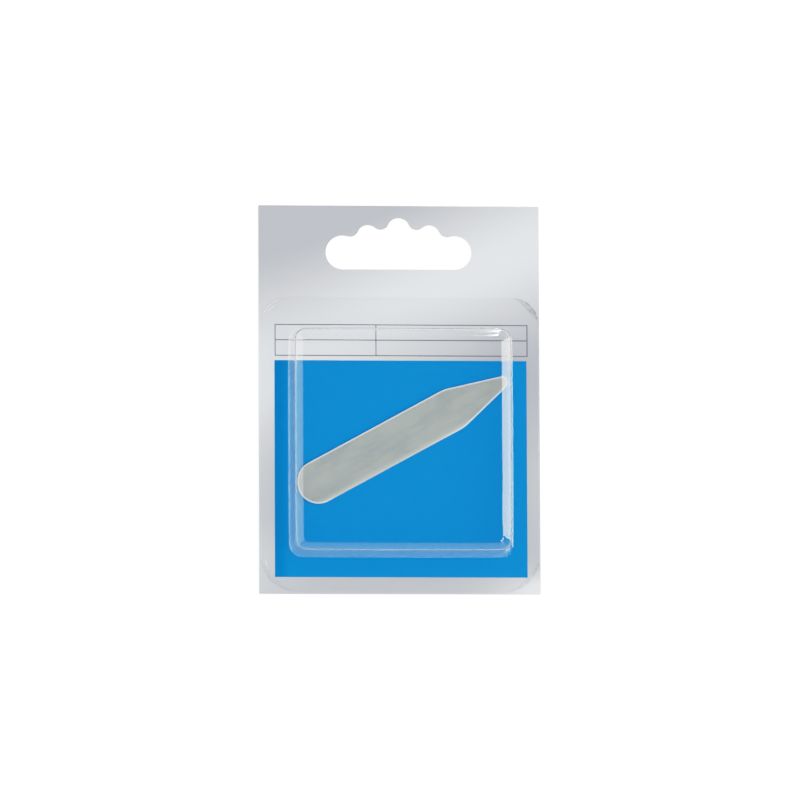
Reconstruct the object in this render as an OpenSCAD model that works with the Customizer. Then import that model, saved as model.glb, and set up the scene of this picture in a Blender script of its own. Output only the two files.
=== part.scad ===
// A collar stay in the clear blister of its hang card.
// The card lies face up. X runs across it, +Y towards its hang hole and +Z out of its face.
// The origin is at the middle of the card's back.

/* [Card] */
// Width of the card
card_w = 65; // [64:1:80]
// Length of the card
card_l = 90; // [90:1:110]
// Thickness of the board
card_t = 0.5; // [0.3:0.1:0.8]

/* [Hang hole] */
// From the card's top edge down to the middle line of the slot
slot_drop = 10.9; // [10:0.1:11.5]
// Half the distance between the centres of the slot's round ends
slot_reach = 13; // [12.5:0.1:13.5]
// Radius of the slot's round ends
slot_r = 3.9; // [3.6:0.1:4.1]
// Sideways place of the two side lobes
lobe_x = 7.1; // [6.9:0.1:7.3]
// Height of the side lobes' centres above the slot's middle line
lobe_rise = 3.85; // [3.6:0.05:4]
// Radius of the side lobes
lobe_r = 2.5; // [2.3:0.1:2.7]
// Height of the crown's centre above the slot's middle line
crown_rise = 5.4; // [5.2:0.1:5.6]
// Radius of the crown
crown_r = 2.6; // [2.4:0.1:2.8]
// Radius of the valleys between the lobes
valley_r = 2; // [1.6:0.1:2.2]

/* [Blister] */
// Thickness of the clear sheet
sheet_t = 0.35; // [0.25:0.05:0.4]
// Width of the flange that lies on the card
flange_w = 64.6; // [60:0.2:64.8]
// Length of the flange
flange_l = 68.2; // [62:0.2:69]
// Radius of the flange's two upper corners
flange_top_r = 6.2; // [5:0.1:8]
// Radius of the flange's two lower corners
flange_low_r = 8.4; // [6:0.1:10]
// Middle of the flange, up from the middle of the card
flange_y = -10.4; // [-10.4:0.1:-9.6]
// Width of the dome at its foot
dome_w = 52.1; // [52.1:0.1:53]
// Length of the dome at its foot
dome_l = 53.5; // [50:0.1:54.5]
// Height of the dome above the card
dome_h = 9.5; // [6:0.5:10]
// Radius of the dome's corners at its foot
dome_r = 3; // [2:0.1:5]
// Radius of the corners of the dome's flat top
dome_top_r = 1.2; // [1:0.1:2]
// Middle of the dome's foot, across the card
dome_x = 0.2; // [0.1:0.1:0.3]
// Middle of the dome's foot, up from the middle of the card
dome_y = -9.95; // [-10.2:0.05:-9.8]
// Lean of the dome's walls, in degrees
draft = 5; // [3:1:8]
// Radius of the bend from the flange into the wall
foot_bend_r = 0.4; // [0.3:0.1:0.8]
// Radius of the bend from the wall into the shoulder
edge_bend_r = 1.1; // [0.8:0.1:1.4]
// Radius of the shoulder, the wide bend from there into the top
shoulder_r = 3.1; // [2:0.1:3.2]

/* [Stay] */
// Length of the stay
stay_l = 55; // [50:1:55]
// Width of the stay
stay_w = 10; // [9:0.5:10]
// Thickness of the stay
stay_t = 0.45; // [0.3:0.05:0.5]
// Length of the tapered end
taper_l = 14.2; // [10:0.1:15]
// Radius of the tip
tip_r = 1.4; // [1:0.1:2]
// Turn of the stay on the card, in degrees
stay_turn = 28.6; // [28:0.2:30]
// Middle of the stay, across the card
stay_x = 0.9; // [0.6:0.1:0.9]
// Middle of the stay, up from the middle of the card
stay_y = -8.4; // [-9:0.1:-8]

/* [Fit] */
// Air between the card and what lies on it
air = 0.05; // [0.02:0.01:0.1]

/* [Hidden] */

$fn = 96;
// Facets in a quarter turn of the dome's plan, and in a bend of its section
corner_steps = 6;
bend_steps = 5;
// Slope at which the edge bend passes into the shoulder
shoulder_slope = 42;
// How far a cutter runs past the board on each side
past = 1;

bed_z = card_t + air;
slot_y = card_l / 2 - slot_drop;

// The hang hole's discs from left to right, each [x, y, radius]
hole_discs = [
    [-slot_reach, slot_y, slot_r],
    [-lobe_x, slot_y + lobe_rise, lobe_r],
    [0, slot_y + crown_rise, crown_r],
    [lobe_x, slot_y + lobe_rise, lobe_r],
    [slot_reach, slot_y, slot_r]
];

// Places of x, y and radius in a disc
X = 0;
Y = 1;
R = 2;

function centre(disc) = [disc[X], disc[Y]];

// Centre of the valley circle that touches two neighbouring discs from above
function valley(a, b) =
    let (
        step = centre(b) - centre(a),
        apart = norm(step),
        from_a = a[R] + valley_r,
        from_b = b[R] + valley_r,
        along = (from_a ^ 2 - from_b ^ 2 + apart ^ 2) / (2 * apart),
        up = sqrt(from_a ^ 2 - along ^ 2),
        way = step / apart
    )
    centre(a) + along * way + up * [-way[Y], way[X]];

module hang_hole() {
    for (disc = hole_discs)
        translate(centre(disc)) circle(r = disc[R]);
    translate([-slot_reach, slot_y - slot_r])
        square([2 * slot_reach, slot_r]);
    for (i = [0:len(hole_discs) - 2]) {
        a = hole_discs[i];
        b = hole_discs[i + 1];
        difference() {
            polygon([[a[X], slot_y], centre(a), valley(a, b), centre(b), [b[X], slot_y]]);
            translate(valley(a, b)) circle(r = valley_r);
        }
    }
}

module card() {
    color("silver")
        difference() {
            translate([-card_w / 2, -card_l / 2, 0]) cube([card_w, card_l, card_t]);
            translate([0, 0, -past]) linear_extrude(card_t + 2 * past) hang_hole();
        }
}

// One level of the sheet: a rectangle with round corners at height z. Its corners' radii run
// anticlockwise from the upper right one.
function level(w, l, radii, x, y, z) = [
    for (quarter = [0:3], i = [0:corner_steps])
        let (
            r = radii[quarter],
            turn = 90 * (quarter + i / corner_steps),
            side_x = (quarter == 0 || quarter == 3) ? 1 : -1,
            side_y = (quarter < 2) ? 1 : -1
        )
        [
            x + side_x * (w / 2 - r) + r * cos(turn),
            y + side_y * (l / 2 - r) + r * sin(turn),
            z
        ]
];

function flange_level(z) =
    let (radii = [flange_top_r, flange_top_r, flange_low_r, flange_low_r])
    level(flange_w, flange_l, radii, 0, flange_y, z);

// The corners grow tighter from the foot to the flat top
function dome_level(inset, z) =
    let (r = dome_r + (dome_top_r - dome_r) * inset / wall_reach)
    level(dome_w - 2 * inset, dome_l - 2 * inset, [r, r, r, r], dome_x, dome_y, z);

wall_turn = 90 - draft;

// Height of the straight wall between the foot bend and the edge bend
wall_rise = dome_h - sheet_t - foot_bend_r * (1 - cos(wall_turn)) - shoulder_r
    + (shoulder_r - edge_bend_r) * cos(shoulder_slope) + edge_bend_r * cos(wall_turn);

// From the foot in to the flat top
wall_reach = (foot_bend_r + edge_bend_r) * sin(wall_turn) + wall_rise * tan(draft)
    + (shoulder_r - edge_bend_r) * sin(shoulder_slope);

// Points on a bend that starts level at [x, z], as [inset, height]; turns run from a to b
function bend(x, z, r, a, b) = [
    for (i = [0:bend_steps])
        let (turn = a + (b - a) * i / bend_steps)
        [x + r * sin(turn), z + r * (1 - cos(turn))]
];

// One face of the dome's sheet, from its foot up to its top, as [inset, height].
// The inner face lies deeper by the sheet's thickness, so its foot bend is larger by that and
// its two upper bends are smaller.
function wall_section(deeper, low, high) =
    let (
        edge_r = edge_bend_r - deeper,
        over_r = shoulder_r - deeper,
        edge_x = wall_reach - (over_r - edge_r) * sin(shoulder_slope),
        edge_z = high - (over_r - edge_r) * (1 - cos(shoulder_slope))
    )
    concat(
        bend(0, low, foot_bend_r + deeper, 0, wall_turn),
        bend(edge_x, edge_z, -edge_r, wall_turn, shoulder_slope),
        [for (i = [1:bend_steps]) bend(wall_reach, high, -over_r, shoulder_slope, 0)[i]]
    );

function reverse(list) = [for (i = [len(list) - 1:-1:0]) list[i]];

// Joins closed levels of equal length into one skin, capped at its first and last level
module skin(levels) {
    sides = len(levels[0]);
    last = len(levels) - 1;
    polyhedron(
        points = [for (level = levels, point = level) point],
        faces = concat(
            [[for (j = [sides - 1:-1:0]) j]],
            [for (i = [0:last - 1], j = [0:sides - 1])
                let (next = (j + 1) % sides)
                [i * sides + j, i * sides + next, (i + 1) * sides + next, (i + 1) * sides + j]],
            [[for (j = [0:sides - 1]) last * sides + j]]
        )
    );
}

module blister() {
    outer = wall_section(0, sheet_t, dome_h);
    inner = wall_section(sheet_t, 0, dome_h - sheet_t);
    color([0.85, 0.93, 1, 0.35])
        translate([0, 0, bed_z])
            skin(concat(
                [for (p = reverse(outer)) dome_level(p[0], p[1])],
                [flange_level(sheet_t), flange_level(0)],
                [for (p = inner) dome_level(p[0], p[1])]
            ));
}

module stay_outline() {
    shoulder = [stay_l / 2 - taper_l, stay_w / 2];
    tip = [stay_l / 2 - tip_r, 0];
    round_end = [(stay_w - stay_l) / 2, 0];
    // Where the tapered side meets the tip's circle, as an angle from the tip's centre. The side
    // ends a hair inside the circle, so that the two cross cleanly.
    to_shoulder = shoulder - tip;
    touch_r = 0.995 * tip_r;
    touch = atan2(to_shoulder[Y], to_shoulder[X]) - acos(touch_r / norm(to_shoulder));
    touch_x = tip[X] + touch_r * cos(touch);
    touch_y = touch_r * sin(touch);
    translate(round_end) circle(d = stay_w);
    translate(tip) circle(r = tip_r);
    polygon([
        [round_end[X], -stay_w / 2],
        [shoulder[X], -stay_w / 2],
        [touch_x, -touch_y],
        [touch_x, touch_y],
        [shoulder[X], stay_w / 2],
        [round_end[X], stay_w / 2]
    ]);
}

module stay() {
    color([0.75, 0.78, 0.75, 0.9])
        translate([stay_x, stay_y, bed_z])
            rotate(stay_turn)
                linear_extrude(stay_t) stay_outline();
}

card();
blister();
stay();
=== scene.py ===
"""A collar stay in the clear blister of its hang card: the looks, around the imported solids.

The card lies face up on a pale floor and is seen from nearly straight above. Sizes are in millimetres
up to the last step of each mesh, which writes metres.
"""

from math import acos, atan2, cos, degrees, hypot, pi, radians, sin, tan

import bpy
from mathutils import Matrix, Vector


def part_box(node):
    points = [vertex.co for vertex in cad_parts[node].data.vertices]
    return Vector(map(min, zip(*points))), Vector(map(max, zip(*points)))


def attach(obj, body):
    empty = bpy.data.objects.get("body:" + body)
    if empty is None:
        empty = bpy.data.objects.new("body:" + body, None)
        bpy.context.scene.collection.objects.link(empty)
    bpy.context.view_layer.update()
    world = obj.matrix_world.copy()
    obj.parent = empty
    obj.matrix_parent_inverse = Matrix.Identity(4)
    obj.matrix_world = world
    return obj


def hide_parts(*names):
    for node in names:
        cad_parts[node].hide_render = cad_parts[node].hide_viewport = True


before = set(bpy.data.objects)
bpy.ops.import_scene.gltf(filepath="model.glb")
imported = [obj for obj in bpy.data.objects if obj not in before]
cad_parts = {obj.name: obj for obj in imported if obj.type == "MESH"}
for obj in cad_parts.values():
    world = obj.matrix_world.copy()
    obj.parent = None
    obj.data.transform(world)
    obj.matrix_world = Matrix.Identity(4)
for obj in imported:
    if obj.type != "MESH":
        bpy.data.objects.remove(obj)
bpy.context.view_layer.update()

MM = 0.001
MM_PER_M = 1000.0


def box_mm(node):
    """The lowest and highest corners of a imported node, in millimetres."""
    low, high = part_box(node)
    return [v * MM_PER_M for v in low], [v * MM_PER_M for v in high]


CARD_LOW, CARD_HIGH = box_mm("card")
SHEET_LOW, SHEET_HIGH = box_mm("blister")
STAY_LOW, STAY_HIGH = box_mm("stay")

CARD_W = CARD_HIGH[0] - CARD_LOW[0]
CARD_L = CARD_HIGH[1] - CARD_LOW[1]
CARD_T = CARD_HIGH[2] - CARD_LOW[2]

# The hang hole: a slot with round ends, two side lobes, a crown, and valleys between them
SLOT_Y = CARD_HIGH[1] - 10.9
SLOT_REACH = 13.0
SLOT_R = 3.9
LOBE_X = 7.1
LOBE_RISE = 3.85
LOBE_R = 2.5
CROWN_RISE = 5.4
CROWN_R = 2.6
VALLEY_R = 2.0

# The blister's sheet
SHEET_T = 0.35
FLANGE_TOP_R = 6.2
FLANGE_LOW_R = 8.4
DOME_W = 52.1
DOME_L = 53.5
DOME_H = SHEET_HIGH[2] - SHEET_LOW[2]
DOME_R = 3.0
DOME_TOP_R = 1.2
DOME_X = 0.2
DOME_Y = -9.95
DRAFT = radians(5)
FOOT_BEND_R = 0.4
EDGE_BEND_R = 1.1
SHOULDER_R = 3.1
SHOULDER_SLOPE = radians(42)

# The stay
STAY_L = 55.0
STAY_W = 10.0
TAPER_L = 14.2
TIP_R = 1.4
TAPER_BEND_R = 8.0
STAY_TURN = radians(28.6)
STAY_X = 0.9
STAY_Y = -8.4


# Meshes

def arc(x, y, r, start, end, steps):
    """Points on an arc, in degrees, both ends included."""
    turns = [radians(start + (end - start) * i / steps) for i in range(steps + 1)]
    return [(x + r * cos(a), y + r * sin(a)) for a in turns]


def new_piece(name, verts_mm, faces):
    """A mesh object at the origin, with its place in its vertices, riding on the one body."""
    mesh = bpy.data.meshes.new(name)
    mesh.from_pydata([[c * MM for c in v] for v in verts_mm], [], faces)
    mesh.validate()
    mesh.polygons.foreach_set("use_smooth", [True] * len(mesh.polygons))
    piece = bpy.data.objects.new(name, mesh)
    bpy.context.collection.objects.link(piece)
    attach(piece, "root")
    return piece


def skin(levels):
    """Vertices and faces of a closed skin through levels of equal length, capped at both ends."""
    sides = len(levels[0])
    last = len(levels) - 1
    verts = [p for level in levels for p in level]
    faces = [list(range(sides))]
    for i in range(last):
        for j in range(sides):
            k = (j + 1) % sides
            faces.append([i * sides + j, (i + 1) * sides + j,
                          (i + 1) * sides + k, i * sides + k])
    faces.append([last * sides + j for j in reversed(range(sides))])
    return verts, faces


def round_rectangle(w, l, r, x, y, steps):
    """Points round a rectangle with round corners, anticlockwise."""
    points = []
    for quarter, (sx, sy) in enumerate([(1, 1), (-1, 1), (-1, -1), (1, -1)]):
        points += arc(x + sx * (w / 2 - r), y + sy * (l / 2 - r), r,
                      90 * quarter, 90 * quarter + 90, steps)
    return points


# Card

# Facets in each arc of the hang hole
HOLE_STEPS = 14
# Radius of the board's corners and facets in each
CARD_CORNER_R = 0.25
CARD_CORNER_STEPS = 5
# Radius of the board's edges and facets in each
EDGE_ROUND = 0.07
EDGE_ROUND_STEPS = 4
# How upright a face's normal is from where the face is shaded flat, and from where it belongs to
# the printed side or the back
FLAT_FACE = 0.99
OUTER_FACE = 0.7
# Slots of the board's three finishes
PRINT_SLOT = 0
CORE_SLOT = 1
BACK_SLOT = 2


def hole_discs():
    """The hang hole's discs from left to right, each (x, y, radius)."""
    return [
        (-SLOT_REACH, SLOT_Y, SLOT_R),
        (-LOBE_X, SLOT_Y + LOBE_RISE, LOBE_R),
        (0.0, SLOT_Y + CROWN_RISE, CROWN_R),
        (LOBE_X, SLOT_Y + LOBE_RISE, LOBE_R),
        (SLOT_REACH, SLOT_Y, SLOT_R),
    ]


def valley_centre(a, b):
    """Centre of the valley circle that touches two neighbouring discs from above."""
    apart = hypot(b[0] - a[0], b[1] - a[1])
    from_a = a[2] + VALLEY_R
    from_b = b[2] + VALLEY_R
    along = (from_a ** 2 - from_b ** 2 + apart ** 2) / (2 * apart)
    up = (from_a ** 2 - along ** 2) ** 0.5
    way = ((b[0] - a[0]) / apart, (b[1] - a[1]) / apart)
    return (a[0] + along * way[0] - up * way[1], a[1] + along * way[1] + up * way[0])


def angle_to(a, b):
    """The heading from a to b, in degrees."""
    return degrees(atan2(b[1] - a[1], b[0] - a[0]))


def hole_outline():
    """The hang hole's outline, clockwise from the lower left, as arcs that run into each other."""
    discs = hole_discs()
    valleys = [valley_centre(a, b) for a, b in zip(discs, discs[1:])]
    points = []
    start = 270.0
    for i, disc in enumerate(discs):
        end = angle_to(disc, valleys[i]) if i < len(valleys) else -90.0
        points += arc(disc[0], disc[1], disc[2], start, end, HOLE_STEPS)
        if i < len(valleys):
            valley = valleys[i]
            into = angle_to(valley, disc) % 360
            out_of = angle_to(valley, discs[i + 1]) % 360
            points += arc(valley[0], valley[1], VALLEY_R, into, out_of, HOLE_STEPS)[1:-1]
            start = angle_to(discs[i + 1], valley)
    return points


def make_card():
    """The board, cut out of a filled outline with finely rounded edges."""
    curve = bpy.data.curves.new("card_outline", "CURVE")
    curve.dimensions = "2D"
    curve.fill_mode = "BOTH"
    middle = (CARD_LOW[1] + CARD_HIGH[1]) / 2
    board = round_rectangle(CARD_W, CARD_L, CARD_CORNER_R, 0, middle, CARD_CORNER_STEPS)
    for outline in (board, hole_outline()):
        spline = curve.splines.new("POLY")
        spline.points.add(len(outline) - 1)
        spline.points.foreach_set("co", [c for x, y in outline for c in (x * MM, y * MM, 0, 1)])
        spline.use_cyclic_u = True
    curve.extrude = (CARD_T / 2 - EDGE_ROUND) * MM
    curve.bevel_depth = EDGE_ROUND * MM
    # A curve's bevel has one facet more than its resolution
    curve.bevel_resolution = EDGE_ROUND_STEPS - 1
    curve.offset = -EDGE_ROUND * MM
    maker = bpy.data.objects.new("card_outline", curve)
    bpy.context.collection.objects.link(maker)
    bpy.context.view_layer.update()
    graph = bpy.context.evaluated_depsgraph_get()
    mesh = bpy.data.meshes.new_from_object(maker.evaluated_get(graph))
    bpy.data.objects.remove(maker)
    mesh.name = "card_board"
    mesh.transform(Matrix.Translation((0, 0, (CARD_LOW[2] + CARD_T / 2) * MM)))
    piece = bpy.data.objects.new("card_board", mesh)
    bpy.context.collection.objects.link(piece)
    mesh.materials.clear()
    for finish in (print_material(), core_material(), back_material()):
        mesh.materials.append(finish)
    for face in mesh.polygons:
        up = face.normal.z
        face.use_smooth = abs(up) < FLAT_FACE
        face.material_index = CORE_SLOT
        if up > OUTER_FACE:
            face.material_index = PRINT_SLOT
        elif up < -OUTER_FACE:
            face.material_index = BACK_SLOT
    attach(piece, "root")
    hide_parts("card")


# Blister

# Facets in a quarter turn of a ring, points on the side between two of those turns, and facets in
# a bend of the section
CORNER_STEPS = 16
SIDE_POINTS = 14
BEND_STEPS = 12
# How far the dome's sides draw in towards its corners, as which power of the way along, and the
# half width of a ring below which they straighten
DRAW_IN = 0.1
DRAW_POWER = 4
STRAIGHTENS = 8.0
# Most that a corner's radius may be of half the ring's width
ROUNDEST = 0.9
# At its corners the flange comes up off the card in two fine steps: (rise, from edge, width)
LIFT_STEPS = [(0.05, 1.15, 0.5), (0.06, 0.45, 0.4)]
# How far in from the edge each corner has come unsealed, from the upper right one, anticlockwise,
# how much each shows, and the share of it that shows as a line of painted shade at the edge itself
UNSEALED = [1.35, 1.25, 1.4, 1.2]
UNSEALED_SHOWS = [1.0, 0.1, 0.3, 0.5]
EDGE_LINE = 0.5
# How softly the unsealed places end, how they narrow away from a corner's middle, over which
# distances from the edge and shares of a corner the line fades, and where a corner is left plain
UNSEALED_SOFT = 0.12
UNSEALED_NARROWS = 1.5
LINE_FADES = (0.5, 0.1)
LINE_ENDS = (0.1, 0.6)
PLAIN_CORNER = 0.05
# Rings of the flange, as distances in from its edge
FLANGE_RINGS = (9.0, 4.0, 2.9, 2.3, 2.0, 1.7, 1.42, 1.3, 1.2, 1.1, 1.0, 0.88, 0.75, 0.65, 0.56,
                0.47, 0.38, 0.29, 0.2)
# The first ring would lie inside the dome, so it stops this far outside the dome's foot
OFF_FOOT = 0.08
# Radius of the flange's cut edge, the turns of its rings in degrees, and the bevel below it
CUT_R = 0.09
CUT_TURNS = (0, 30, 60, 90)
CUT_BEVEL = 0.03
# Rings of the dome's flat top, how they crowd towards its edge, and how far from the top's middle
# the last one stops
TOP_RINGS = 24
TOP_CROWDS = 1.3
TOP_STOPS = 0.4
# Depth of the dents in the flat top, and the share of the way out where they end, with its power
DENT = 0.05
DENTS_END = 0.87
DENTS_POWER = 6


def blister_ring(w, l, radii, x, y, draw_in=0.0):
    """A ring of the blister: four round corners, from the upper right one and anticlockwise,
    joined by sides that may draw in at their ends."""
    arcs = []
    for k, (sx, sy) in enumerate([(1, 1), (-1, 1), (-1, -1), (1, -1)]):
        r = radii[k]
        beside = degrees(atan2(DRAW_POWER * draw_in, l / 2 - r))
        above = degrees(atan2(DRAW_POWER * draw_in, w / 2 - r))
        cx = sx * (w / 2 - draw_in - r * cos(radians(beside)))
        cy = sy * (l / 2 - draw_in - r * cos(radians(above)))
        first, last = (beside, above) if k % 2 == 0 else (above, beside)
        arcs.append(arc(x + cx, y + cy, r, 90 * k + first, 90 * k + 90 - last, CORNER_STEPS))
    ring = []
    for k, (out_x, out_y) in enumerate([(0, 1), (-1, 0), (0, -1), (1, 0)]):
        (ax, ay), (bx, by) = arcs[k][-1], arcs[(k + 1) % 4][0]
        ring += arcs[k]
        for i in range(1, SIDE_POINTS + 1):
            t = sin(pi / 2 * (2 * i / (SIDE_POINTS + 1) - 1))
            share = (1 + t) / 2
            out = draw_in * (1 - t ** DRAW_POWER)
            ring.append((ax + (bx - ax) * share + out * out_x, ay + (by - ay) * share + out * out_y))
    return ring


def ring_places():
    """For each point of a ring: the corner that it belongs to, and how near its middle it is."""
    places = []
    for corner in range(4):
        places += [(corner, sin(pi * i / CORNER_STEPS)) for i in range(CORNER_STEPS + 1)]
        places += [(corner, 0.0)] * SIDE_POINTS
    return places


# The straight wall's height between its two bends, and the way from the foot in to the flat top
WALL = pi / 2 - DRAFT
WALL_RISE = (DOME_H - SHEET_T - FOOT_BEND_R * (1 - cos(WALL)) - SHOULDER_R
             + (SHOULDER_R - EDGE_BEND_R) * cos(SHOULDER_SLOPE) + EDGE_BEND_R * cos(WALL))
WALL_REACH = ((FOOT_BEND_R + EDGE_BEND_R) * sin(WALL) + WALL_RISE * tan(DRAFT)
              + (SHOULDER_R - EDGE_BEND_R) * sin(SHOULDER_SLOPE))


def bend(x, z, r, start, end):
    """Points on a bend that is level at (x, z), between two slopes."""
    slopes = [start + (end - start) * i / BEND_STEPS for i in range(BEND_STEPS + 1)]
    return [(x + r * sin(a), z + r * (1 - cos(a))) for a in slopes]


def wall_section(deeper, low, high):
    """One face of the dome's sheet from its foot to its flat top, as (inset, height)."""
    edge_r = EDGE_BEND_R - deeper
    over_r = SHOULDER_R - deeper
    edge_x = WALL_REACH - (over_r - edge_r) * sin(SHOULDER_SLOPE)
    edge_z = high - (over_r - edge_r) * (1 - cos(SHOULDER_SLOPE))
    foot = bend(0, low, FOOT_BEND_R + deeper, 0, WALL)
    edge = bend(edge_x, edge_z, -edge_r, WALL, SHOULDER_SLOPE)
    return foot + edge + bend(WALL_REACH, high, -over_r, SHOULDER_SLOPE, 0)[1:]


def smooth_step(low, high, v):
    """0 at low and 1 at high, with a soft start and end."""
    t = min(max((v - low) / (high - low), 0.0), 1.0)
    return t * t * (3 - 2 * t)


def dome_ring(inset, z):
    """A ring of the dome, moved in by inset from its foot."""
    r = DOME_R + (DOME_TOP_R - DOME_R) * min(inset / WALL_REACH, 1)
    r = min(r, ROUNDEST * (DOME_W / 2 - inset))
    draw_in = DRAW_IN * min(1, (DOME_W / 2 - inset) / STRAIGHTENS)
    ring = blister_ring(DOME_W - 2 * inset, DOME_L - 2 * inset, (r,) * 4, DOME_X, DOME_Y, draw_in)
    return [(x, y, z) for x, y in ring]


def dent_depth(x, y):
    """Soft dents of a formed sheet: none at the top's edge, and never above the flat."""
    u = (x - DOME_X) / (DOME_W / 2)
    v = (y - DOME_Y) / (DOME_L / 2)
    room = max(0.0, 1 - max(abs(u), abs(v)) ** DENTS_POWER / DENTS_END ** DENTS_POWER)
    wave = 0.5 + 0.25 * sin(4.1 * u + 2.3 * v + 0.6) + 0.25 * sin(5.3 * v - 3.1 * u + 1.9)
    return DENT * room * wave


def flange_ring(from_edge, z):
    """A ring of the flange, from_edge inside its outline, and lifted at its corners."""
    w = SHEET_HIGH[0] - SHEET_LOW[0]
    l = SHEET_HIGH[1] - SHEET_LOW[1]
    radii = (FLANGE_TOP_R, FLANGE_TOP_R, FLANGE_LOW_R, FLANGE_LOW_R)
    x = (SHEET_HIGH[0] + SHEET_LOW[0]) / 2
    y = (SHEET_HIGH[1] + SHEET_LOW[1]) / 2
    edge = blister_ring(w, l, radii, x, y)
    ring = []
    for (fx, fy, _), (ex, ey), (_, at_corner) in zip(dome_ring(0.0, z), edge, ring_places()):
        reach = hypot(fx - ex, fy - ey)
        share = min(from_edge, reach - OFF_FOOT) / reach
        lift = sum(rise * (1 - smooth_step(start - width / 2, start + width / 2, from_edge))
                   for rise, start, width in LIFT_STEPS)
        ring.append((ex + (fx - ex) * share, ey + (fy - ey) * share, z + lift * at_corner))
    return ring


def unsealed_ring(from_edge):
    """For each point of a flange ring, how far the sheet shows as come off the card."""
    shown = []
    for corner, at_corner in ring_places():
        reach = UNSEALED[corner] * at_corner ** UNSEALED_NARROWS
        lens = smooth_step(-UNSEALED_SOFT, UNSEALED_SOFT, reach - from_edge)
        # The line at the edge itself is painted shade
        line = smooth_step(*LINE_FADES, from_edge) * smooth_step(*LINE_ENDS, at_corner)
        share = lens * (1 - EDGE_LINE) + line * EDGE_LINE
        shown.append(share * UNSEALED_SHOWS[corner] if at_corner > PLAIN_CORNER else 0.0)
    return shown


def make_blister():
    """The sheet, one closed skin: the top and walls outside, the flange, then the same inside."""
    base = SHEET_LOW[2]
    outer = wall_section(0, SHEET_T, DOME_H)
    inner = wall_section(SHEET_T, 0, DOME_H - SHEET_T)
    flat_edge = outer[-1][0]
    middle = min(DOME_W, DOME_L) / 2 - TOP_STOPS
    flat_insets = [flat_edge + (middle - flat_edge) * (i / TOP_RINGS) ** TOP_CROWDS
                   for i in range(1, TOP_RINGS + 1)]

    def flat_rings(z):
        return [[(x, y, h - dent_depth(x, y)) for x, y, h in dome_ring(inset, z)]
                for inset in flat_insets]

    levels = list(reversed(flat_rings(base + DOME_H)))
    levels += [dome_ring(inset, base + z) for inset, z in reversed(outer)]
    before = len(levels)
    flange = [(d, SHEET_T) for d in FLANGE_RINGS]
    for turn in CUT_TURNS:
        a = radians(turn)
        flange.append((CUT_R * (1 - sin(a)), SHEET_T - CUT_R * (1 - cos(a))))
    flange += [(0.0, CUT_BEVEL), (CUT_BEVEL, 0.0)]
    flange += [(d, 0.0) for d in reversed(FLANGE_RINGS)]
    levels += [flange_ring(d, base + z) for d, z in flange]
    after = len(levels)
    levels += [dome_ring(inset, base + z) for inset, z in inner]
    levels += flat_rings(base + DOME_H - SHEET_T)
    verts, faces = skin(levels)
    piece = new_piece("blister_sheet", verts, faces)
    piece.data.materials.append(clear_material())
    piece.data.materials.append(bonded_material())
    sides = len(levels[0])
    # The skin's faces come after its first cap, one row of them to each pair of levels
    for i in range(1 + (before - 1) * sides, 1 + after * sides):
        piece.data.polygons[i].material_index = 1
    loose = [0.0] * (before * sides)
    for d, _ in flange:
        loose += unsealed_ring(d)
    loose += [0.0] * (len(verts) - len(loose))
    piece.data.attributes.new("unsealed", "FLOAT", "POINT").data.foreach_set("value", loose)
    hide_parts("blister")


# Stay

# The rolled edge of the stay's face: its width, its drop and its rings' turns in degrees. The
# lower edge is rolled half as far.
ROLL_W = 0.26
ROLL_H = 0.16
ROLL_TURNS = range(0, 91, 15)
# How far in the painted highlight along the edge is marked, and the share of that where a ring in
# between lies
PAINTED_GLINT_W = 0.9
PAINTED_GLINT_RING = 0.7
# Facets in the bend into the taper, round the tip and round the other end
TAPER_BEND_STEPS = 6
TIP_STEPS = 16
END_STEPS = 40


def stay_ring(inset, z):
    """The stay's outline, moved in by inset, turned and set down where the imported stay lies."""
    tip_x = STAY_L / 2 - TIP_R
    shoulder_x = STAY_L / 2 - TAPER_L
    to_shoulder = (shoulder_x - tip_x, STAY_W / 2)
    touch = atan2(to_shoulder[1], to_shoulder[0]) - acos(TIP_R / hypot(*to_shoulder))
    slope = pi / 2 - touch
    bend_y = STAY_W / 2 - TAPER_BEND_R
    bend_x = (tip_x * sin(slope) + TIP_R - TAPER_BEND_R - bend_y * cos(slope)) / sin(slope)
    turn = degrees(slope)
    bend_r = TAPER_BEND_R - inset
    points = arc(bend_x, -bend_y, bend_r, -90, turn - 90, TAPER_BEND_STEPS)
    points += arc(tip_x, 0, TIP_R - inset, turn - 90, 90 - turn, TIP_STEPS)
    points += arc(bend_x, bend_y, bend_r, 90 - turn, 90, TAPER_BEND_STEPS)
    points += arc(STAY_W / 2 - STAY_L / 2, 0, STAY_W / 2 - inset, 90, 270, END_STEPS)
    c, s = cos(STAY_TURN), sin(STAY_TURN)
    return [(STAY_X + x * c - y * s, STAY_Y + x * s + y * c, z) for x, y in points]


def make_stay():
    """The stay, one closed skin from its upper face over the rolled edge to its lower face."""
    low, high = STAY_LOW[2], STAY_HIGH[2]
    section = [(PAINTED_GLINT_W, high), (PAINTED_GLINT_W * PAINTED_GLINT_RING, high)]
    for turn in ROLL_TURNS:
        a = radians(turn)
        section.append((ROLL_W * (1 - sin(a)), high - ROLL_H * (1 - cos(a))))
    for turn in reversed(ROLL_TURNS):
        a = radians(turn)
        section.append((ROLL_W * (1 - sin(a)) / 2, low + ROLL_H * (1 - cos(a)) / 2))
    levels = [stay_ring(inset, z) for inset, z in section]
    verts, faces = skin(levels)
    piece = new_piece("stay_strip", verts, faces)
    # This attribute is 1 at the outline and falls to 0 where the face is plain, and marks where the
    # edge's painted highlight lies
    glint_rim = piece.data.attributes.new("glint_rim", "FLOAT", "POINT")
    sides = len(levels[0])
    glint_rim.data.foreach_set("value", [1 - min(inset / PAINTED_GLINT_W, 1) for inset, _ in section
                                   for _ in range(sides)])
    piece.data.materials.append(milky_material())
    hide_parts("stay")


# Materials

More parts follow.
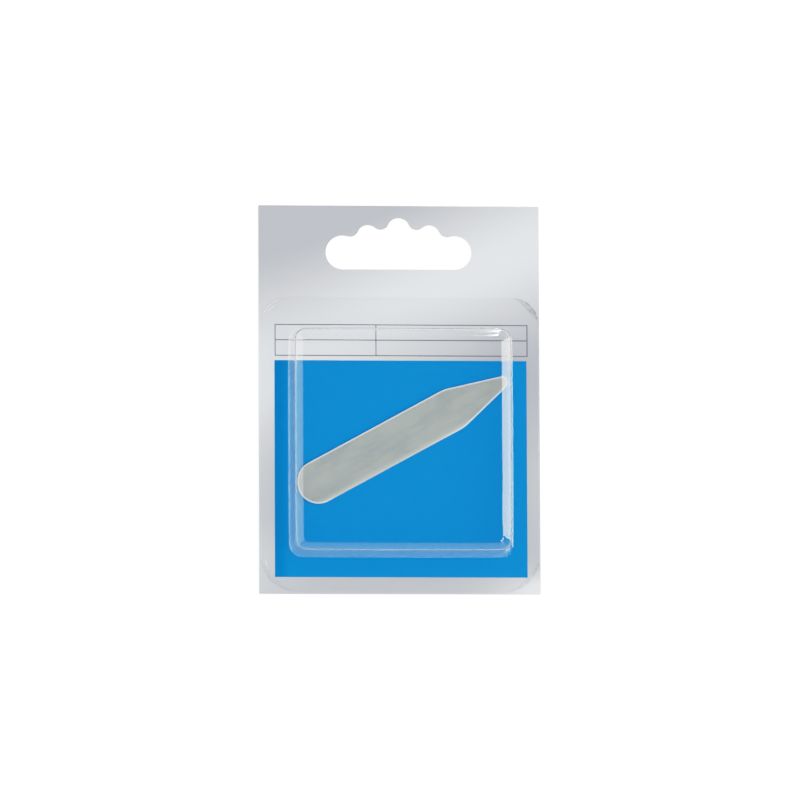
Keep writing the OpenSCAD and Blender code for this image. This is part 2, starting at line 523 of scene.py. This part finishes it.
def linear(r, g, b):
    """A colour given as 0 to 255 on the screen, as the shader's own linear colour."""
    def one(v):
        v /= 255
        return v / 12.92 if v <= 0.04045 else ((v + 0.055) / 1.055) ** 2.4
    return (one(r), one(g), one(b), 1.0)


class Nodes:
    """Writes the nodes of a material or a world. Each call adds a node and returns its output."""

    def __init__(self, owner):
        owner.use_nodes = True
        self.owner = owner
        self.tree = owner.node_tree
        self.tree.nodes.clear()

    def set(self, socket, value):
        """Links an output to the socket, or sets the socket's own value."""
        if isinstance(value, bpy.types.NodeSocket):
            self.tree.links.new(value, socket)
        elif value is not None:
            socket.default_value = value

    def add(self, kind, **settings):
        node = self.tree.nodes.new(kind)
        for key, value in settings.items():
            setattr(node, key, value)
        return node

    def math(self, operation, a, b=None, c=None, clamp=False):
        node = self.add("ShaderNodeMath", operation=operation, use_clamp=clamp)
        for socket, value in zip(node.inputs, (a, b, c)):
            self.set(socket, value)
        return node.outputs[0]

    def mix(self, factor, a, b):
        node = self.add("ShaderNodeMix", data_type="RGBA", clamp_factor=True)
        self.set(node.inputs["Factor"], factor)
        self.set(node.inputs[6], a)
        self.set(node.inputs[7], b)
        return node.outputs[2]

    def ramp(self, value, low, high, to_low=0.0, to_high=1.0):
        """to_low where value is low and to_high where it is high, with a soft start and end."""
        node = self.add("ShaderNodeMapRange", interpolation_type="SMOOTHSTEP", clamp=True)
        for socket, v in zip(node.inputs, (value, low, high, to_low, to_high)):
            self.set(socket, v)
        return node.outputs[0]

    def noise(self, place, scale, detail=2.0, roughness=0.5):
        node = self.add("ShaderNodeTexNoise")
        self.set(node.inputs["Vector"], place)
        self.set(node.inputs["Scale"], scale)
        self.set(node.inputs["Detail"], detail)
        self.set(node.inputs["Roughness"], roughness)
        return node.outputs["Fac"]

    def place_mm(self):
        """The point on the piece in the card's own millimetres, as a vector and its x, y and z."""
        source = self.add("ShaderNodeTexCoord")
        scaled = self.add("ShaderNodeVectorMath", operation="SCALE")
        self.set(scaled.inputs[0], source.outputs["Object"])
        self.set(scaled.inputs["Scale"], MM_PER_M)
        parts = self.add("ShaderNodeSeparateXYZ")
        self.set(parts.inputs[0], scaled.outputs[0])
        return scaled.outputs[0], parts.outputs[0], parts.outputs[1], parts.outputs[2]

    def turned(self, place, x, y, turn, scale):
        """The place as seen from x, y by an eye turned by turn, then divided by scale, which
        stretches a texture by it."""
        node = self.add("ShaderNodeMapping", vector_type="TEXTURE")
        self.set(node.inputs["Vector"], place)
        self.set(node.inputs["Location"], (x, y, 0))
        self.set(node.inputs["Rotation"], (0, 0, turn))
        self.set(node.inputs["Scale"], scale)
        return node.outputs[0]

    def bump(self, height, distance_mm, strength):
        node = self.add("ShaderNodeBump")
        self.set(node.inputs["Strength"], strength)
        self.set(node.inputs["Distance"], distance_mm * MM)
        self.set(node.inputs["Height"], height)
        return node.outputs[0]

    def principled(self, **inputs):
        node = self.add("ShaderNodeBsdfPrincipled")
        for key, value in inputs.items():
            self.set(node.inputs[key.replace("_", " ")], value)
        return node

    def done(self, surface, kind="ShaderNodeOutputMaterial"):
        """Links the surface to the output node and returns the material or world."""
        self.set(self.add(kind).inputs["Surface"], surface)
        return self.owner


def new_material(name):
    """The nodes of a new material."""
    return Nodes(bpy.data.materials.new(name))


# The printed face: a blue panel and a ruled box of two rows and two columns, in card millimetres,
# each as its left, lower, right and upper side
PANEL = (-28.9, -41.1, 29.45, 9.05)
RULED = (-28.7, 10.15, 29.6, 17.3)
RULED_ROW = 13.75
RULED_COLUMN = -5.4
RULE_W = 0.3
# A broad pale band, part print and part painted sheen of the metallised board, crosses the silver:
# its slant, the place of its middle across it, and its width
BAND_SLANT = radians(25.2)
BAND_MIDDLE = 19.5
BAND_W = 14.3
# How the silver pales downwards, per millimetre, which is part print and part painted sheen, and how
# strongly its grain shows
PALES_DOWN = 0.0026
GRAIN_SHOWS = 0.10
# Over these places across the card the painted shadow of the dome on the panel's blue fades out
DOME_SHADOW_ENDS = (-27.6, -25.4)
SILVER_DARK = linear(162, 165, 172)
SILVER_LIGHT = linear(226, 232, 238)
# Pale places on the silver, part print and part painted sheen: how strong, and the middle and the
# width of each across and along
PRINT_AND_SHEEN_PLACES = [
    (2.35, 45.0, 15.7, -44.8, 4.0),
    (0.39, -45.0, 15.8, -17.5, 37.0),
    (0.30, 45.0, 15.7, -17.0, 15.0),
    (0.35, -45.0, 15.8, -36.0, 6.0),
]
# The panel's blue, and the same blue darkened by the painted shadow of the dome
PANEL_BLUE = linear(10, 126, 196)
PANEL_BLUE_SHADOWED = linear(4, 117, 183)
RULE_GREY = linear(124, 125, 132)


def inside(n, value, low, high):
    """1 where value lies between low and high."""
    return n.math("MULTIPLY", n.math("GREATER_THAN", value, low),
                  n.math("LESS_THAN", value, high))


def glow(n, value, middle, width):
    """A soft bell that is 1 at middle and falls off over width."""
    off = n.math("DIVIDE", n.math("SUBTRACT", value, middle), width)
    return n.math("EXPONENT", n.math("MULTIPLY", n.math("MULTIPLY", off, off), -1.0))


def print_material():
    """The printed face: silver with pale places of print and painted sheen, the blue panel with a
    painted shadow along its left, and the rules, under a gloss.
    """
    n = new_material("printed_silver_board")
    place, x, y, _ = n.place_mm()
    # The silver's pale band and places, and its paling downwards, are part print and part painted sheen
    across = n.math("SUBTRACT", n.math("MULTIPLY", y, cos(BAND_SLANT)),
                    n.math("MULTIPLY", x, sin(BAND_SLANT)))
    pale = glow(n, across, BAND_MIDDLE, BAND_W)
    for strength, at_x, width, at_y, length in PRINT_AND_SHEEN_PLACES:
        spot = n.math("MULTIPLY", glow(n, x, at_x, width), glow(n, y, at_y, length))
        pale = n.math("MULTIPLY_ADD", spot, strength, pale)
    pale = n.math("MULTIPLY_ADD", y, -PALES_DOWN, pale, clamp=True)
    grain = n.noise(place, scale=6.0, detail=3.0, roughness=0.6)
    pale = n.math("ADD", pale, n.math("MULTIPLY", n.math("SUBTRACT", grain, 0.5), GRAIN_SHOWS))
    silver = n.mix(pale, SILVER_DARK, SILVER_LIGHT)
    panel = n.math("MULTIPLY", inside(n, x, PANEL[0], PANEL[2]), inside(n, y, PANEL[1], PANEL[3]))
    # A painted shadow of the dome darkens the blue a little along the panel's left side
    blue = n.mix(n.ramp(x, *DOME_SHADOW_ENDS), PANEL_BLUE_SHADOWED, PANEL_BLUE)
    colour = n.mix(panel, silver, blue)
    half = RULE_W / 2
    in_box = n.math("MULTIPLY", inside(n, x, RULED[0] - half, RULED[2] + half),
                    inside(n, y, RULED[1] - half, RULED[3] + half))
    lines = None
    for value, spots in ((x, (RULED[0], RULED_COLUMN, RULED[2])),
                         (y, (RULED[1], RULED_ROW, RULED[3]))):
        for spot in spots:
            line = inside(n, value, spot - half, spot + half)
            lines = line if lines is None else n.math("MAXIMUM", lines, line)
    colour = n.mix(n.math("MULTIPLY", lines, in_box), colour, RULE_GREY)
    waves = n.noise(place, scale=0.9, detail=4.0, roughness=0.6)
    shader = n.principled(Base_Color=colour, Specular_IOR_Level=0.0, Roughness=0.5,
                          Coat_Weight=0.6, Coat_Roughness=n.ramp(grain, 0.2, 0.8, 0.05, 0.09),
                          Coat_Normal=n.bump(waves, distance_mm=0.006, strength=0.5))
    return n.done(shader.outputs[0])


def core_material():
    """The cut edge of the board: pale fibres in layers."""
    n = new_material("board_core")
    place, _, _, z = n.place_mm()
    fibre = n.noise(place, scale=4.0, detail=4.0, roughness=0.7)
    layers = n.noise(n.math("MULTIPLY", z, 14.0), scale=1.0)
    tone = n.math("MULTIPLY", n.math("ADD", fibre, layers), 0.5)
    colour = n.mix(n.ramp(tone, 0.3, 0.7), linear(196, 194, 190), linear(232, 231, 228))
    shader = n.principled(Base_Color=colour, Roughness=0.85,
                          Normal=n.bump(fibre, distance_mm=0.03, strength=0.8))
    return n.done(shader.outputs[0])


def back_material():
    """The card's plain back: uncoated pale board with a faint cloudy fibre."""
    n = new_material("board_back")
    place, _, _, _ = n.place_mm()
    cloud = n.noise(place, scale=0.35, detail=5.0, roughness=0.6)
    fibre = n.noise(place, scale=5.0, detail=3.0, roughness=0.6)
    tone = n.math("ADD", n.math("MULTIPLY", cloud, 0.6), n.math("MULTIPLY", fibre, 0.4))
    colour = n.mix(n.ramp(tone, 0.3, 0.7), linear(222, 222, 220), linear(238, 238, 237))
    shader = n.principled(Base_Color=colour, Roughness=0.72,
                          Normal=n.bump(fibre, distance_mm=0.01, strength=0.5))
    return n.done(shader.outputs[0])


# How much light for shadows goes on past each face of the clear sheet, level and upright
LEVEL_PASSES = 0.985
UPRIGHT_PASSES = 0.90
BONDED_PASSES = 0.99
UNSEALED_PASSES = 0.80
SHEET_IOR = 1.49
# How cloudy each face of the dome's walls is, where the sheet was stretched most
WALL_HAZE = 0.09
# The flange's gloss: its roughness, the heights in the sheet over which it starts, and the slopes
# over which it ends at the rounded edge
FLANGE_ROUGHNESS = 0.06
GLOSS_STARTS = (0.1, 0.2)
GLOSS_ENDS = (0.06, 0.03)


def shadow_rays(n):
    """1 for rays that carry shadows or the card's own light, which go straight through."""
    rays = n.add("ShaderNodeLightPath")
    return n.math("MAXIMUM", rays.outputs["Is Shadow Ray"], rays.outputs["Is Diffuse Ray"])


def upright(n):
    """0 where a face is level and 1 where it is upright."""
    normal = n.add("ShaderNodeNewGeometry").outputs["Normal"]
    parts = n.add("ShaderNodeSeparateXYZ")
    n.set(parts.inputs[0], normal)
    return n.math("SUBTRACT", 1.0, n.math("ABSOLUTE", parts.outputs[2]))


def clear_material():
    """The clear formed sheet. Light for shadows and for the card passes straight through it."""
    n = new_material("clear_formed_sheet")
    place, _, y, _ = n.place_mm()
    lean = upright(n)
    haze = n.ramp(lean, 0.45, 0.85, 0.0, WALL_HAZE)
    # The sheet is smoothest along its upper wall
    ripples = n.math("MULTIPLY", n.math("SUBTRACT", n.noise(place, scale=0.11), 0.5),
                     n.ramp(y, 10.0, 13.5, 1.0, 0.1))
    glass = n.principled(Base_Color=n.mix(haze, (1, 1, 1, 1), (0.8, 0.82, 0.84, 1)),
                         Roughness=0.03, IOR=SHEET_IOR,
                         Transmission_Weight=n.math("SUBTRACT", 1.0, haze),
                         Normal=n.bump(ripples, distance_mm=0.25, strength=0.3))
    through = n.add("ShaderNodeBsdfTransparent")
    passes = n.ramp(lean, 0.1, 0.9, LEVEL_PASSES, UPRIGHT_PASSES)
    n.set(through.inputs[0], passes)
    mixed = n.add("ShaderNodeMixShader")
    n.set(mixed.inputs[0], shadow_rays(n))
    n.set(mixed.inputs[1], glass.outputs[0])
    n.set(mixed.inputs[2], through.outputs[0])
    return n.done(mixed.outputs[0])


def bonded_material():
    """The flange, sealed to the card: clear, with a gloss on its upper face only."""
    n = new_material("clear_sealed_flange")
    place, _, _, z = n.place_mm()
    # Where the sheet has come off the card, air behind it takes some of the light, and the darker lens
    # seen there is partly that and partly painted shade; the line at the edge itself is painted shade
    loose = n.add("ShaderNodeAttribute", attribute_name="unsealed").outputs["Fac"]
    patches = n.noise(place, scale=1.6, detail=3.0, roughness=0.6)
    streaks = n.ramp(patches, 0.45, 0.65, UNSEALED_PASSES, BONDED_PASSES)
    through = n.add("ShaderNodeBsdfTransparent")
    n.set(through.inputs[0], n.mix(loose, (BONDED_PASSES,) * 3 + (1,), streaks))
    gloss = n.add("ShaderNodeBsdfGlossy")
    gloss.inputs["Roughness"].default_value = FLANGE_ROUGHNESS
    waves = n.bump(n.noise(place, scale=0.25), distance_mm=0.05, strength=0.3)
    n.set(gloss.inputs["Normal"], waves)
    sheen = n.add("ShaderNodeFresnel")
    sheen.inputs["IOR"].default_value = SHEET_IOR
    raised = n.ramp(z, SHEET_LOW[2] + GLOSS_STARTS[0], SHEET_LOW[2] + GLOSS_STARTS[1])
    on_top = n.math("MULTIPLY", raised, n.ramp(upright(n), *GLOSS_ENDS))
    seen = n.math("SUBTRACT", 1.0, shadow_rays(n))
    mixed = n.add("ShaderNodeMixShader")
    n.set(mixed.inputs[0], n.math("MULTIPLY", n.math("MULTIPLY", sheen.outputs[0], on_top), seen))
    n.set(mixed.inputs[1], through.outputs[0])
    n.set(mixed.inputs[2], gloss.outputs[0])
    return n.done(mixed.outputs[0])


def milky_material():
    """The stay's cloudy plastic: pale and nearly even, a little of the card showing through it."""
    n = new_material("milky_stay_plastic")
    place, _, _, _ = n.place_mm()
    along = n.turned(place, STAY_X, STAY_Y, STAY_TURN, (1, 1, 1))
    parts = n.add("ShaderNodeSeparateXYZ")
    n.set(parts.inputs[0], along)
    cloud_place = n.turned(place, STAY_X, STAY_Y, STAY_TURN, (5, 1.6, 1))
    cloud = n.noise(cloud_place, scale=0.6, detail=3.0)
    grain_place = n.turned(place, STAY_X, STAY_Y, STAY_TURN, (2.2, 1, 1))
    grain = n.noise(grain_place, scale=3.5, detail=4.0, roughness=0.65)
    glint_rim = n.add("ShaderNodeAttribute", attribute_name="glint_rim").outputs["Fac"]
    body = n.mix(n.ramp(cloud, 0.35, 0.65), linear(147, 154, 154), linear(158, 164, 160))
    body = n.mix(n.ramp(grain, 0.35, 0.75, 0.0, 0.3), body, linear(174, 180, 178))
    # The lower side is paler and creamier towards its edge
    cream = n.ramp(parts.outputs[1], -3.4, -4.9, 0.0, 0.6)
    body = n.mix(cream, body, linear(192, 199, 190))
    # Painted highlight: the light that the cut edge gathers is painted as a fine pale line, weaker
    # along part of the lower edge
    soft = n.math("MULTIPLY", n.ramp(parts.outputs[1], -4.0, -4.5),
                  n.math("MULTIPLY", n.ramp(parts.outputs[0], -24.0, -20.0),
                         n.ramp(parts.outputs[0], 12.0, 2.0)))
    line = n.math("MULTIPLY", n.ramp(glint_rim, 0.5, 0.8), n.math("MULTIPLY_ADD", soft, -0.65, 1.0))
    colour = n.mix(line, body, linear(206, 217, 220))
    shader = n.principled(Base_Color=colour, Roughness=n.ramp(grain, 0.3, 0.7, 0.2, 0.27),
                          Specular_IOR_Level=0.4, Normal=n.bump(grain, distance_mm=0.012, strength=0.4))
    clear = n.add("ShaderNodeBsdfTransparent")
    mixed = n.add("ShaderNodeMixShader")
    # The painted highlight also makes the edge a little less see-through
    n.set(mixed.inputs[0], n.math("ADD", 0.74, n.math("MULTIPLY", line, 0.22), clamp=True))
    n.set(mixed.inputs[1], clear.outputs[0])
    n.set(mixed.inputs[2], shader.outputs[0])
    return n.done(mixed.outputs[0])


def seen_straight(n):
    """1 for rays from the camera, also once they have passed through clear plastic."""
    rays = n.add("ShaderNodeLightPath")
    unmirrored = n.math("LESS_THAN", rays.outputs["Glossy Depth"], 0.5)
    through = n.math("MULTIPLY", rays.outputs["Is Transmission Ray"], unmirrored)
    return n.math("MAXIMUM", rays.outputs["Is Camera Ray"], through)


# The table is white to the camera by its own light, and in the sheet's reflections a painted pale
# blue, tinted towards the card's blue
TABLE_GLOW = 1.4


def floor_material():
    """A pale matt table, which reflections in the sheet show with a painted tint of the card's blue."""
    n = new_material("pale_floor")
    place, _, y, _ = n.place_mm()
    tone = n.noise(place, scale=0.02)
    seen = seen_straight(n)
    white = n.mix(tone, linear(244, 244, 244), linear(250, 250, 250))
    # Painted reflection: the sheet's reflections show the table blue below the ruled box and white
    # above it
    glossed = n.mix(n.ramp(y, 6.0, 12.0), linear(110, 190, 255), linear(250, 250, 250))
    colour = n.mix(seen, glossed, white)
    shader = n.principled(Base_Color=colour, Roughness=0.9, Specular_IOR_Level=0.1,
                          Emission_Color=(1, 1, 1, 1),
                          Emission_Strength=n.math("MULTIPLY", seen, TABLE_GLOW))
    return n.done(shader.outputs[0])


# Stage, light and camera

# Half the table's side, and how far its face lies below the card
FLOOR_HALF = 1500.0
BELOW_CARD = 0.02


def make_floor():
    """The table that the card lies on."""
    z = CARD_LOW[2] - BELOW_CARD
    mesh = bpy.data.meshes.new("floor")
    corners = [(sx * FLOOR_HALF, sy * FLOOR_HALF) for sx, sy in ((-1, -1), (1, -1), (1, 1), (-1, 1))]
    mesh.from_pydata([(x * MM, y * MM, z * MM) for x, y in corners], [], [(0, 1, 2, 3)])
    mesh.materials.append(floor_material())
    floor = bpy.data.objects.new("floor", mesh)
    bpy.context.collection.objects.link(floor)


# The light that comes out white on the film
FILM_WHITE = 2.4
# The studio as it lights plain matter: boxes on the sky, each bright where the direction's x and y
# lie in its spans and its z is above the lowest light: (x span, y span, brightness).
LIGHT_BOXES = [
    ((0.135, 1.0), (-0.50, 0.50), 4.2),
    ((-1.0, -0.33), (-0.40, 0.40), 1.2),
    ((-0.50, 0.50), (-1.0, -0.40), 0.55),
]
# The studio as a gloss shows it: panels round the direction that a level face mirrors to the
# camera: (heading from there and half its spread in degrees, nearest and farthest, brightness).
GLOSS_PANELS = [
    (4, 14, (0.08, 2.0), 7.35),
    (84.93, 3.02, (0.36, 0.60), 60.0),
    (85.18, 3.27, (0.80, 1.20), 60.0),
    (-45, 20, (0.22, 0.34), 9.0),
    (186, 36, (0.415, 2.0), 2.1),
    (270, 42, (0.50, 2.0), 0.96),
]
BOX_EDGE = 0.02
PANEL_EDGE = 0.006
LOWEST_LIGHT = 0.05
# The room's own light: near the ground, high up, and where the card mirrors it to the camera.
# It dims upwards over these heights, and towards the mirrored way over these cosines from it.
ROOM = (0.85, 0.45, 0.0)
ROOM_DIMS_UP = (0.1, 0.85)
ROOM_DIMS_MIRRORED = (0.70, 0.99)
# Least distance ahead that a panel's spread is measured at
LEAST_AHEAD = 0.0001
# The camera looks down from a little to the left of and below straight overhead
LEAN_LEFT = radians(4.9)
LEAN_BELOW = radians(5.9)
MIRRORED = Vector((tan(LEAN_LEFT), tan(LEAN_BELOW), 1)).normalized()


def box_light(n, x, y, above):
    """The light boxes, added up over the direction's x and y."""
    boxes = 0.0
    for x_span, y_span, bright in LIGHT_BOXES:
        box = above
        for value, (low, high) in ((x, x_span), (y, y_span)):
            box = n.math("MULTIPLY", box, n.ramp(value, low - BOX_EDGE, low + BOX_EDGE))
            box = n.math("MULTIPLY", box, n.ramp(value, high + BOX_EDGE, high - BOX_EDGE))
        boxes = n.math("ADD", boxes, n.math("MULTIPLY", box, bright))
    return boxes


def panel_light(n, x, y, above):
    """The gloss panels, added up over the direction's place round the mirrored way."""
    u = n.math("SUBTRACT", x, MIRRORED.x)
    v = n.math("SUBTRACT", y, MIRRORED.y)
    off = n.math("SQRT", n.math("MULTIPLY_ADD", u, u, n.math("MULTIPLY", v, v)))
    panels = 0.0
    for heading, spread, (near, far), bright in GLOSS_PANELS:
        c, s = cos(radians(heading)), sin(radians(heading))
        ahead = n.math("MULTIPLY_ADD", u, c, n.math("MULTIPLY", v, s))
        aside = n.math("ABSOLUTE", n.math("MULTIPLY_ADD", u, -s, n.math("MULTIPLY", v, c)))
        ratio = n.math("DIVIDE", aside, n.math("MAXIMUM", ahead, LEAST_AHEAD))
        side = tan(radians(spread))
        panel = n.math("MULTIPLY", above, n.ramp(ratio, side + PANEL_EDGE, side - PANEL_EDGE))
        panel = n.math("MULTIPLY", panel, n.ramp(off, near - BOX_EDGE, near + BOX_EDGE))
        panel = n.math("MULTIPLY", panel, n.ramp(off, far + BOX_EDGE, far - BOX_EDGE))
        panels = n.math("ADD", panels, n.math("MULTIPLY", panel, bright))
    return panels


def make_world():
    """A dim studio: its light boxes for plain matter, its panels for gloss, and plain white for
    what is seen straight."""
    world = bpy.data.worlds.new("studio")
    bpy.context.scene.world = world
    n = Nodes(world)
    way = n.add("ShaderNodeTexCoord").outputs["Generated"]
    parts = n.add("ShaderNodeSeparateXYZ")
    n.set(parts.inputs[0], way)
    x, y, z = parts.outputs
    mirrored = n.add("ShaderNodeVectorMath", operation="DOT_PRODUCT")
    n.set(mirrored.inputs[0], way)
    n.set(mirrored.inputs[1], MIRRORED)
    above = n.ramp(z, LOWEST_LIGHT - BOX_EDGE, LOWEST_LIGHT + BOX_EDGE)
    rays = n.add("ShaderNodeLightPath")
    glossy = n.math("MAXIMUM", rays.outputs["Is Glossy Ray"], rays.outputs["Is Transmission Ray"])
    boxes = n.math("MULTIPLY", box_light(n, x, y, above), n.math("SUBTRACT", 1.0, glossy))
    lamps = n.math("ADD", boxes, n.math("MULTIPLY", panel_light(n, x, y, above), glossy))
    near_ground = n.ramp(z, *ROOM_DIMS_UP, ROOM[0] - ROOM[1], 0.0)
    overhead = n.ramp(mirrored.outputs["Value"], *ROOM_DIMS_MIRRORED, ROOM[1], ROOM[2])
    studio = n.add("ShaderNodeBackground")
    n.set(studio.inputs["Strength"], n.math("ADD", lamps, n.math("ADD", near_ground, overhead)))
    plain = n.add("ShaderNodeBackground")
    plain.inputs["Strength"].default_value = FILM_WHITE
    mixed = n.add("ShaderNodeMixShader")
    n.set(mixed.inputs[0], seen_straight(n))
    n.set(mixed.inputs[1], studio.outputs[0])
    n.set(mixed.inputs[2], plain.outputs[0])
    n.done(mixed.outputs[0], "ShaderNodeOutputWorld")


# The photograph's frame: its side, its scale on the card and its middle in card millimetres
FRAME_PX = 800
PX_PER_MM = 4.32
FRAME_MIDDLE = (0.12, -0.09)
CAMERA_AWAY = 2.2
SENSOR = 36.0


def make_camera():
    """A long lens at the photograph's angle, aimed at the middle of its frame."""
    way = Vector((-tan(LEAN_LEFT), -tan(LEAN_BELOW), 1)).normalized()
    # A leaning view shortens the card a little, which a longer lens makes up for
    shortening = (1 + way.z) / 2
    data = bpy.data.cameras.new("camera")
    data.sensor_width = SENSOR
    data.lens = SENSOR * CAMERA_AWAY / (FRAME_PX / PX_PER_MM * MM) / shortening
    data.clip_start = 0.01
    data.clip_end = 20
    camera = bpy.data.objects.new("camera", data)
    aim = Vector((FRAME_MIDDLE[0] * MM, FRAME_MIDDLE[1] * MM, CARD_HIGH[2] * MM))
    camera.location = aim + way * CAMERA_AWAY
    camera.rotation_mode = "QUATERNION"
    camera.rotation_quaternion = Vector((0, 0, 1)).rotation_difference(way)
    bpy.context.collection.objects.link(camera)
    bpy.context.scene.camera = camera


# How the photograph's film answers: the light that meets it, and how bright it comes out
FILM = [(0.0, 0.0), (0.3, 0.3), (0.6, 0.59), (0.86, 0.71), (1.05, 0.78), (1.3, 0.84), (1.7, 0.91),
        (2.4, 1.0)]


def set_film():
    """Plain colours up to the middle tones, then a soft shoulder for the highlights."""
    view = bpy.context.scene.view_settings
    view.view_transform = "Standard"
    view.use_curve_mapping = True
    mapping = view.curve_mapping
    mapping.white_level = (FILM_WHITE, FILM_WHITE, FILM_WHITE)
    points = mapping.curves[3].points
    points[0].location = FILM[0]
    points[1].location = (FILM[-1][0] / FILM_WHITE, FILM[-1][1])
    for light, shown in FILM[1:-1]:
        points.new(light / FILM_WHITE, shown)
    for point in points:
        point.handle_type = "AUTO_CLAMPED"
    mapping.update()


make_card()
make_blister()
make_stay()
make_floor()
make_world()
make_camera()
set_film()

# The two faces of each wall need more bounces than usual
scene = bpy.context.scene
scene.cycles.max_bounces = 16
scene.cycles.transmission_bounces = 14
scene.cycles.transparent_max_bounces = 24

bpy.context.view_layer.update()
